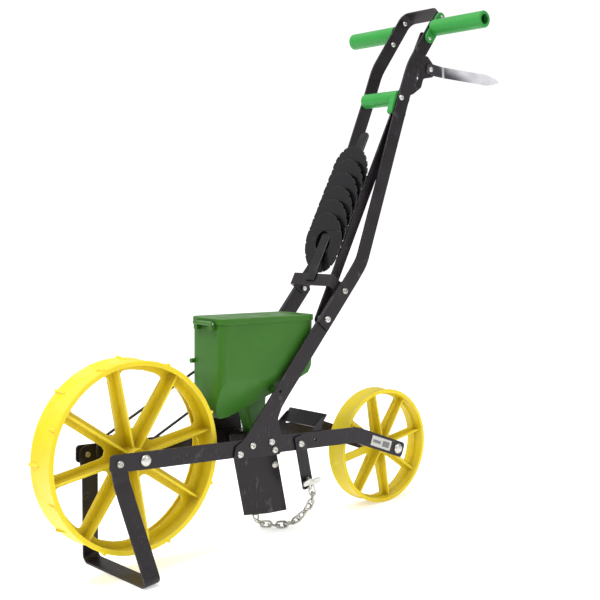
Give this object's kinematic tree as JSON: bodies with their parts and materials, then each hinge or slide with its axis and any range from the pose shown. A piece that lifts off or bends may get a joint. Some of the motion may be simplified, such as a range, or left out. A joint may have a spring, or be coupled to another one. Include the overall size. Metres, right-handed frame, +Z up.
{
  "type": "walk-behind garden seeder",
  "caption": "Walk-behind row seeder: large and small plastic wheels, flat-bar frame and handle, seed hopper with lid, furrow opener, covering chain, row marker and folding stand.",
  "frame": {"origin": "on the ground, under the middle of the object's box", "axes": "+Z up, -Y the way it travels, +X the operator's left"},
  "size_m": [0.4266, 1.2202, 1.1466],
  "materials": {
    "wheel_plastic": "satin moulded yellow plastic",
    "grip_plastic": "fine-textured green plastic",
    "hopper_plastic": "satin moulded green plastic",
    "black_paint": "black powder coat on flat steel bar",
    "black_plastic": "glossy black plastic",
    "belt_rubber": "matt rubber",
    "zinc_steel": "bright zinc plate",
    "blade_steel": "dark satin steel"
  },
  "bodies": {
    "frame": {"left_rail": "black_paint", "right_rail": "black_paint", "left_riser": "black_paint", "right_riser": "black_paint", "cross_brace": "black_paint", "left_foot_bolt": "zinc_steel", "right_foot_bolt": "zinc_steel", "left_upper_handle_bolt": "zinc_steel", "right_upper_handle_bolt": "zinc_steel", "left_lower_handle_bolt": "zinc_steel", "right_lower_handle_bolt": "zinc_steel", "handle_loop": "black_paint", "left_grip": "grip_plastic", "right_grip": "grip_plastic", "cross_tube": "grip_plastic", "rack_post": "black_plastic", "rack_bracket": "black_paint", "stored_plate_1": "black_plastic", "stored_plate_2": "black_plastic", "stored_plate_3": "black_plastic", "stored_plate_4": "black_plastic", "stored_plate_5": "black_plastic", "stored_plate_6": "black_plastic", "left_hanger": "black_paint", "right_hanger": "black_paint", "left_hanger_bolt": "zinc_steel", "right_hanger_bolt": "zinc_steel", "left_stand_bolt": "zinc_steel", "right_stand_bolt": "zinc_steel", "opener": "black_paint", "opener_heel": "black_paint", "left_opener_spacer": "black_plastic", "right_opener_spacer": "black_plastic", "left_opener_bolt": "zinc_steel", "right_opener_bolt": "zinc_steel", "opener_cross_bolt": "zinc_steel", "left_wing_screw": "zinc_steel", "right_wing_screw": "zinc_steel", "hopper": "hopper_plastic", "lid_hinge_pin": "zinc_steel", "seed_chute": "hopper_plastic", "drive_belt": "belt_rubber", "front_axle_bolt": "zinc_steel", "rear_axle_bolt": "zinc_steel", "front_spacer": "zinc_steel", "left_rear_spacer": "zinc_steel", "right_rear_spacer": "zinc_steel", "marker_spacer": "zinc_steel"},
    "hopper_lid": {"hopper_lid": "hopper_plastic"},
    "front_wheel": {"front_wheel": "wheel_plastic", "front_pulley": "black_plastic"},
    "seed_drive": {"seed_plate": "black_plastic", "driven_pulley": "black_plastic"},
    "rear_wheel": {"rear_wheel": "wheel_plastic"},
    "stand": {"stand": "black_paint"},
    "covering_chain": {"covering_chain": "zinc_steel"},
    "marker_arm": {"marker_arm": "black_paint", "marker_plate": "black_paint", "marker_blade_bolt": "zinc_steel"},
    "marker_blade": {"marker_blade": "blade_steel"}
  },
  "joints": [
    {"name": "front_wheel_spin", "type": "hinge", "parent": "frame", "child": "front_wheel", "pos_m": [0, -0.41635, 0.2329], "axis": [1, 0, 0], "continuous": true},
    {"name": "seed_drive_spin", "type": "hinge", "parent": "frame", "child": "seed_drive", "pos_m": [0, -0.15655, 0.34979], "axis": [1, 0, 0], "continuous": true},
    {"name": "rear_wheel_spin", "type": "hinge", "parent": "frame", "child": "rear_wheel", "pos_m": [0, 0.26037, 0.1335], "axis": [1, 0, 0], "continuous": true},
    {"name": "stand_fold", "type": "hinge", "parent": "frame", "child": "stand", "pos_m": [0, -0.47277, 0.23603], "axis": [1, 0, 0], "range_deg": [-200, 0]},
    {"name": "lid_open", "type": "hinge", "parent": "frame", "child": "hopper_lid", "pos_m": [0, -0.21946, 0.47359], "axis": [1, 0, 0], "range_deg": [0, 110]},
    {"name": "marker_tilt", "type": "hinge", "parent": "frame", "child": "marker_arm", "pos_m": [0, 0.05373, 0.45658], "axis": [1, 0, 0], "range_deg": [-75, 0]},
    {"name": "marker_blade_turn", "type": "hinge", "parent": "marker_arm", "child": "marker_blade", "pos_m": [0, 0.41823, 1.00184], "axis": [1, 0, 0], "range_deg": [-90, 0]},
    {"name": "chain_swing", "type": "hinge", "parent": "frame", "child": "covering_chain", "pos_m": [0, -0.01797, 0.11432], "axis": [1, 0, 0], "range_deg": [0, 58]}
  ],
  "couplings": [
    {"joint": "seed_drive_spin", "follows": "front_wheel_spin", "ratio": 1}
  ]
}
